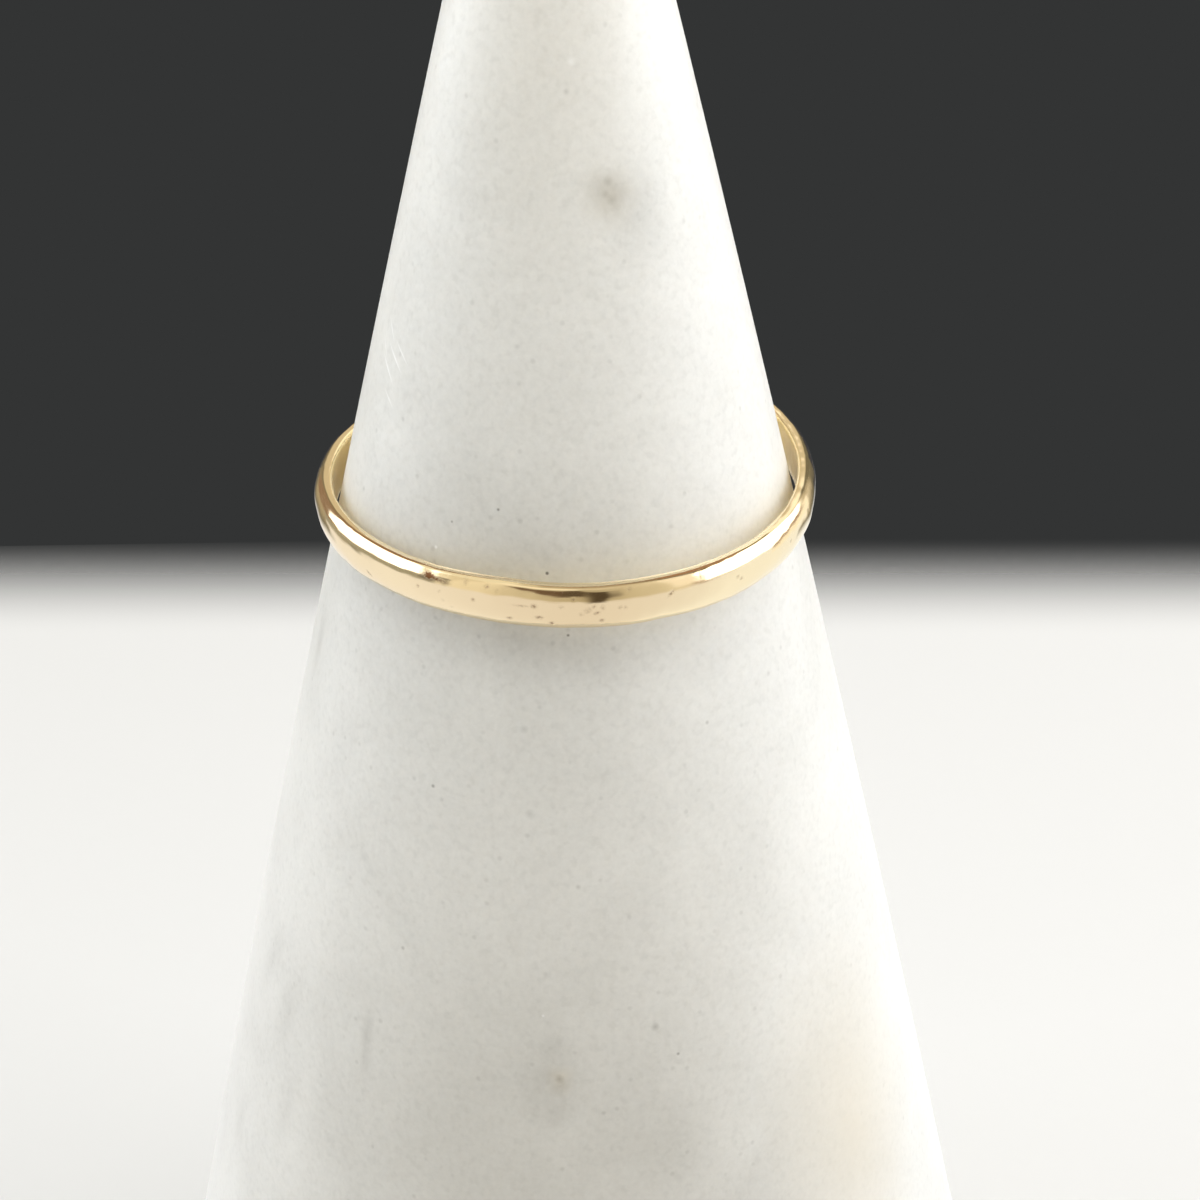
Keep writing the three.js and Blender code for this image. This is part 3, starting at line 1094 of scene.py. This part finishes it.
shell_az, shell_el = np.meshgrid(
    np.arange(-180, 180, SHELL_STEP), np.arange(-88.5, 89.0, SHELL_STEP), indexing="xy"
)
sideways = np.clip(np.abs(shell_az) / WALL_HALF_DEG, 0, 1)[..., None] ** WALL_POWER
wall_tone = WALL_MIDDLE + sideways * (np.array(WALL_SIDE) - WALL_MIDDLE)
right_share = np.clip(shell_az / TABLE_HALF_DEG, 0, 1)[..., None] ** TABLE_POWER
left_share = np.clip(-shell_az / TABLE_HALF_DEG, 0, 1)[..., None] ** TABLE_POWER
table_tone = TABLE_FRONT + right_share * MORE_RIGHT + left_share * MORE_LEFT
glow = np.zeros(shell_az.shape + (3,)) + DIM_BACK


def paint(corners, softness_deg, tone):
    """Lays one tone over the shell inside the polygon."""
    global glow
    share = inside_polygon(shell_az, shell_el, corners, softness_deg)
    glow = glow * (1 - share) + np.array(tone) * share


print("bearings to paint:", shell_az.size)

# %% Painting the mirrored room
# behind the ring: tan to the sides, paler where the boxes light the wall past their frames
paint(((-150, -20), (-112, -20), (-112, 70), (-150, 70)), 12, (0.46, 0.38, 0.25))
paint(((118, -20), (142, -20), (142, 70), (118, 70)), 10, (0.60, 0.52, 0.38))
paint(((160, 8), (200, 8), (200, 58), (160, 58)), 6, (0.70, 0.60, 0.43))
paint(((-200, 8), (-158, 8), (-158, 58), (-200, 58)), 6, (0.70, 0.60, 0.43))
# the dark room past the table's far edge
paint(((-200, -34), (-162, -34), (-156, -8), (-164, 6), (-200, 6)), 8, (0.05, 0.05, 0.06))
paint(((158, -34), (200, -34), (200, 2), (160, 2), (150, -8)), 8, (0.05, 0.05, 0.06))
# in front of it: the wall, its paler top, and the ceiling
paint(((-74, -20), (74, -20), (74, 86), (-74, 86)), 8, wall_tone)
paint(((-60, 60), (60, 60), (60, 86), (-60, 86)), 8, (0.72, 0.64, 0.49))
paint(((-200, 77), (200, 77), (200, 100), (-200, 100)), 6, (0.48, 0.39, 0.29))
# above and beside the left box: a brown beam behind, and the cream wall that the box lights
paint(((-200, 34), (-150, 34), (-130, 30), (-130, 58), (-200, 62)), 3, (0.32, 0.17, 0.10))
paint(((-150, 62), (-124, 52), (-60, 48), (-60, 80), (-150, 80)), 3, (0.92, 0.86, 0.70))
paint(((-92, 50), (-70, 26), (-60, 26), (-60, 52)), 3, (0.82, 0.74, 0.57))
# above, behind and below the right box: a brown beam, and two bright patches of wall
paint(BEAM_RIGHT, 3, (0.40, 0.24, 0.15))
paint(((138, 28), (200, 28), (200, 42), (138, 42)), 3, (1.30, 1.22, 1.05))
paint(((96, -22), (136, -22), (136, 6), (96, 6)), 5, (1.15, 1.08, 0.92))
# the wall over the camera, the dark frame behind the left box, and a pale strip in front of
# the right box with the brown frame below it
paint(((-62, 52), (-40, 52), (-8, 57), (-8, 68), (-62, 70)), 4, (1.05, 0.97, 0.80))
paint(((-150, -6), (-124, -12), (-124, 54), (-150, 58)), 3, (0.31, 0.21, 0.14))
paint(((44, 12), (60, 8), (78, 64), (44, 66)), 4, (1.06, 0.97, 0.84))
paint(((52, -3), (104, -9), (128, -4), (128, 10), (52, 10)), 2.5, (0.46, 0.33, 0.25))
# the table reaches to the horizon in front, and ends nearer behind
paint(((-100, -100), (100, -100), (100, 0), (-100, 0)), 7, table_tone)
paint(((-132, -100), (132, -100), (132, -15), (-132, -15)), 7, table_tone)
paint(((-200, -100), (200, -100), (200, -27), (-200, -27)), 7, table_tone)
# the soft boxes and a dark edge beside the left one
paint(((-134, -17), (-62, -2), (-62, 12), (-134, -10)), 3, (0.40, 0.38, 0.31))
paint(BOX_LEFT, 1.5, (2.6, 2.6, 2.6))
paint(BOX_RIGHT, 1.5, (3.4, 3.4, 3.4))
paint(((-70, 2), (-62, 3), (-63, 24), (-70, 26)), 3, (0.10, 0.08, 0.06))
# the camera and the arm that holds it
paint(CAMERA, 4, (0.17, 0.11, 0.07))
paint(((-12, 18), (0, 20), (1, 45), (-4, 56), (-14, 54)), 4, (0.11, 0.08, 0.05))
paint(((1, -1), (10, -3), (15, 18), (13, 42), (1, 45)), 6, (0.09, 0.065, 0.04))

print("glow from", round(glow.min(), 2), "to", round(glow.max(), 2))

# %% The shell that carries the paint
shell_points = bearing(shell_az, shell_el) * SHELL_RADIUS + np.array([0, 0, RING_HEIGHT])
room_paint = bpy.data.materials.new("mirrored_room")
room_paint.use_nodes = True
room_paint.cycles.emission_sampling = "NONE"
tree = room_paint.node_tree
tones = add_node(tree, "ShaderNodeAttribute", attribute_name="glow")
emitter = add_node(tree, "ShaderNodeEmission", {"Color": tones.outputs["Color"]})
tree.links.new(emitter.outputs[0], tree.nodes["Material Output"].inputs["Surface"])
shell_rows, shell_columns = shell_az.shape
shell = mesh_object(
    "mirrored_room",
    shell_points.reshape(-1, 3),
    grid_faces(shell_rows, shell_columns, False).tolist(),
    room_paint,
)
layer = shell.data.attributes.new("glow", "FLOAT_COLOR", "POINT")
with_alpha = np.concatenate([glow, np.ones(glow.shape[:2] + (1,))], -1)
layer.data.foreach_set("color", with_alpha.astype(np.float32).ravel())
shell.visible_camera = shell.visible_diffuse = shell.visible_shadow = shell.visible_transmission = False
shell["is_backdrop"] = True
print("room shell of", shell_rows, "by", shell_columns, "points")

# %% [markdown]
# ## Sizes
#
# Detail could make the object bigger than it was measured, so its box is measured again and
# its growth past the first box is printed.

# %% Sizes
made_low, made_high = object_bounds()
grown = np.subtract([made_low, made_high], [cad_low, cad_high]) / MM
print("grown by", np.round(grown, 3).tolist(), "mm")
